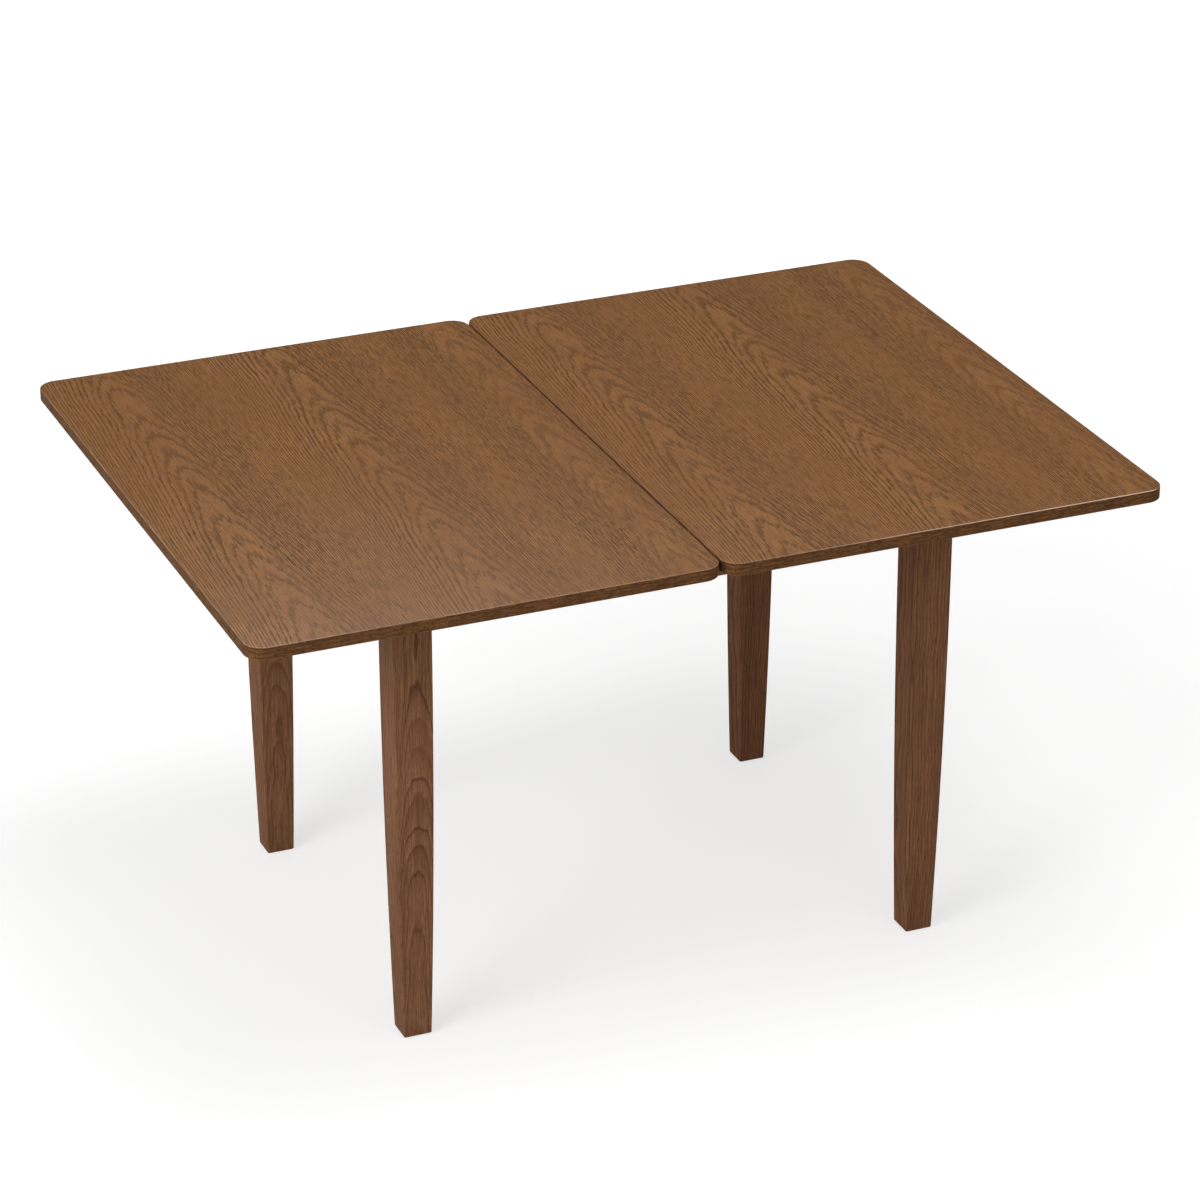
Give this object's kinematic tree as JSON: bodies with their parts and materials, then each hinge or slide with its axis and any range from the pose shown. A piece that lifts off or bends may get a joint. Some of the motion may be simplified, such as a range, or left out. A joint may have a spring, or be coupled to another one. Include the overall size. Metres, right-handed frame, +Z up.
{
  "type": "extending dining table",
  "caption": "Flip-top extending dining table, shown open: equal wood leaves meet at a seam over a frame with legs; it closes by folding one leaf over and turning the top.",
  "frame": {"origin": "on the floor, under the middle of the open top", "axes": "+X along the open top's length, to the right; +Y from front to back; +Z up"},
  "size_m": [1.3, 0.945, 0.71],
  "materials": {
    "leaf_veneer": "satin brown-stained oak veneer",
    "leg_wood": "satin walnut-brown solid wood",
    "apron_wood": "satin walnut-brown wood",
    "block_wood": "plain sanded hardwood",
    "plywood": "plain birch plywood",
    "bush_nylon": "natural nylon",
    "glide_plastic": "matt dark brown",
    "felt": "brown wool felt",
    "plate_steel": "black powder coat",
    "barrel_brass": "plain turned brass",
    "insert_brass": "zinc-yellow",
    "fastener_steel": "zinc-plated"
  },
  "bodies": {
    "leg_frame": {"leg_front_left": "leg_wood", "leg_front_right": "leg_wood", "leg_back_left": "leg_wood", "leg_back_right": "leg_wood", "apron_front": "apron_wood", "apron_back": "apron_wood", "apron_left": "apron_wood", "apron_right": "apron_wood", "corner_block_front_left": "block_wood", "corner_block_front_right": "block_wood", "corner_block_back_left": "block_wood", "corner_block_back_right": "block_wood", "leg_bolts": "fastener_steel", "leg_bolt_washers": "fastener_steel", "leg_inserts": "insert_brass", "corner_block_screws": "fastener_steel", "cross_rail_left": "block_wood", "cross_rail_right": "block_wood", "rail_brackets": "plate_steel", "rail_bracket_screws": "fastener_steel", "pivot_board": "plywood", "pivot_board_screws": "fastener_steel", "pivot_bush": "bush_nylon", "felt_strips": "felt", "foot_glides": "glide_plastic"},
    "base_top": {"base_leaf": "leaf_veneer", "turn_plate": "plate_steel", "turn_plate_screws": "fastener_steel", "pivot_bolt": "fastener_steel", "pivot_washer": "fastener_steel", "pivot_nut": "fastener_steel", "turn_stop_pin": "fastener_steel", "hinge_barrels_base": "barrel_brass", "hinge_pins_base": "fastener_steel"},
    "fold_top": {"fold_leaf": "leaf_veneer", "hinge_barrels_fold": "barrel_brass", "hinge_pins_fold": "fastener_steel"},
    "base_links": {"hinge_links_base": "fastener_steel"},
    "fold_links": {"hinge_links_fold": "fastener_steel"}
  },
  "joints": [
    {"name": "top_turn", "type": "hinge", "parent": "leg_frame", "child": "base_top", "pos_m": [0.16475, -0.16075, 0.69], "axis": [0, 0, 1], "range_deg": [0, 90]},
    {"name": "leaf_fold", "type": "hinge", "parent": "base_top", "child": "fold_top", "pos_m": [0, 0, 0.71025], "axis": [0, 1, 0], "range_deg": [0, 180]},
    {"name": "base_link_turn", "type": "hinge", "parent": "base_top", "child": "base_links", "pos_m": [0.0045, 0, 0.70575], "axis": [0, 1, 0], "range_deg": [0, 90]},
    {"name": "fold_link_turn", "type": "hinge", "parent": "fold_top", "child": "fold_links", "pos_m": [-0.0045, 0, 0.70575], "axis": [0, 1, 0], "range_deg": [-90, 0]}
  ],
  "couplings": [
    {"joint": "base_link_turn", "follows": "leaf_fold", "ratio": 0.5},
    {"joint": "fold_link_turn", "follows": "leaf_fold", "ratio": -0.5}
  ]
}
